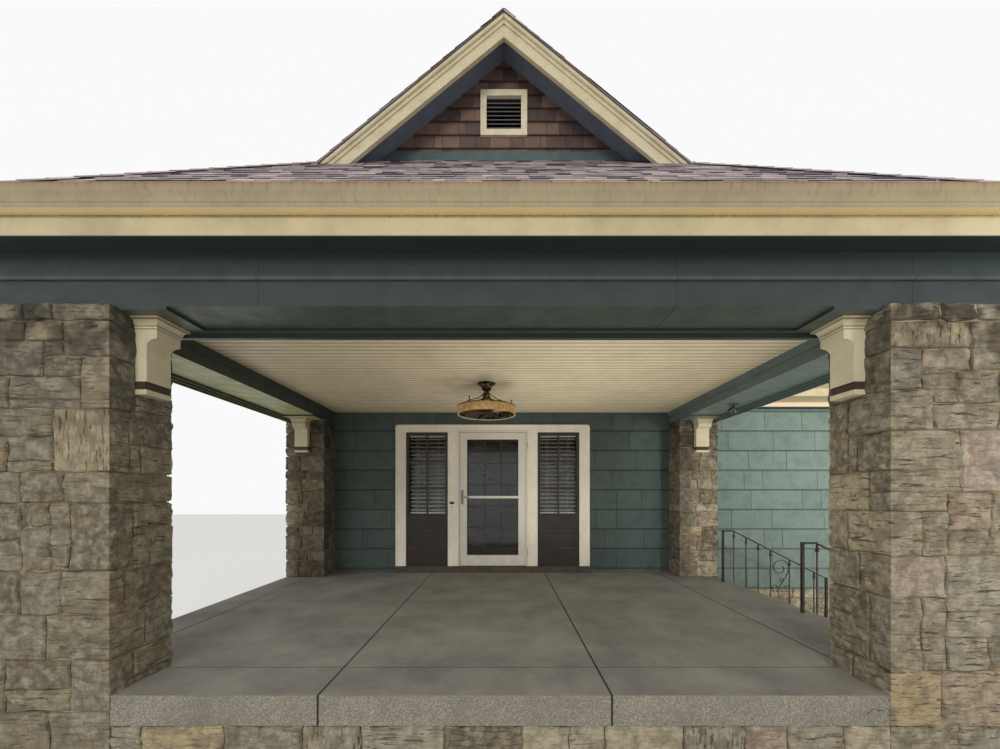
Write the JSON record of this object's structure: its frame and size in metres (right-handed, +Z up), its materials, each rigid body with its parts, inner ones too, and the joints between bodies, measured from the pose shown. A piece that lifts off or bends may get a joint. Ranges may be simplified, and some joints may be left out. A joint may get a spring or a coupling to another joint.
{
  "type": "covered front porch",
  "caption": "Covered front porch against a house wall: stone piers, boxed beams, hipped roof with a gable, glazed entrance, side steps with railings and a ceiling fan.",
  "frame": {"origin": "lowest ground under the front edge of the floor, on the porch's centre line", "axes": "+X to the right seen from the street, +Y back towards the house, +Z up"},
  "size_m": [8.438, 4.168, 6.5053],
  "materials": {
    "stone": "rough split face",
    "concrete": "brushed",
    "cream_wood": "cream paint",
    "green_wood": "dark green paint",
    "wall_shingles": "green stain",
    "roof_shingles": "mineral granules",
    "cedar": "brown stain",
    "dark_wood": "dark satin",
    "white_metal": "satin",
    "glass": "clear",
    "wrought_iron": "black satin",
    "bronze": "dark bronze satin",
    "tan_metal": "tan satin"
  },
  "bodies": {
    "porch": {"foundation_walls": "stone", "foundation_rear": "stone", "floor_slab": "concrete", "side_steps": "concrete", "front_pier_left": "stone", "front_pier_right": "stone", "rear_pier_left": "stone", "rear_pier_right": "stone", "corbels_front": "cream_wood", "corbels_side": "cream_wood", "front_beam": "green_wood", "side_beam_left": "green_wood", "side_beam_right": "green_wood", "porch_ceiling": "cream_wood", "house_walls": "wall_shingles", "wall_over_door": "wall_shingles", "wing_wall": "wall_shingles", "attic_wall": "wall_shingles", "door_frame": "cream_wood", "threshold": "dark_wood", "sidelights": "dark_wood", "sidelight_glass": "glass", "roof_front": "roof_shingles", "roof_left": "roof_shingles", "roof_right": "roof_shingles", "roof_wing": "roof_shingles", "eave_front": "cream_wood", "eave_left": "cream_wood", "eave_right": "cream_wood", "eave_wing": "cream_wood", "gable_wall": "cedar", "gable_roof_left": "roof_shingles", "gable_roof_right": "roof_shingles", "rake_boards": "cream_wood", "gable_vent": "cream_wood", "gable_skirt": "green_wood", "stair_railings": "wrought_iron", "fan_mount": "bronze", "fan_drum": "tan_metal", "floodlight": "bronze"},
    "storm_door": {"storm_door": "white_metal", "storm_door_glass": "glass"},
    "inner_door": {"inner_door": "dark_wood", "inner_door_glass": "glass"},
    "fan_rotor": {"fan_rotor": "bronze"}
  },
  "joints": [
    {"name": "storm_door_hinge", "type": "hinge", "parent": "porch", "child": "storm_door", "pos_m": [0.3625, 3.767, 1.816], "axis": [0, 0, 1], "range_deg": [0, 90]},
    {"name": "inner_door_hinge", "type": "hinge", "parent": "porch", "child": "inner_door", "pos_m": [0.3625, 3.938, 1.816], "axis": [0, 0, 1], "range_deg": [-90, 0]},
    {"name": "fan_spin", "type": "hinge", "parent": "porch", "child": "fan_rotor", "pos_m": [-0.17, 2.24, 2.83], "axis": [0, 0, 1], "continuous": true}
  ]
}
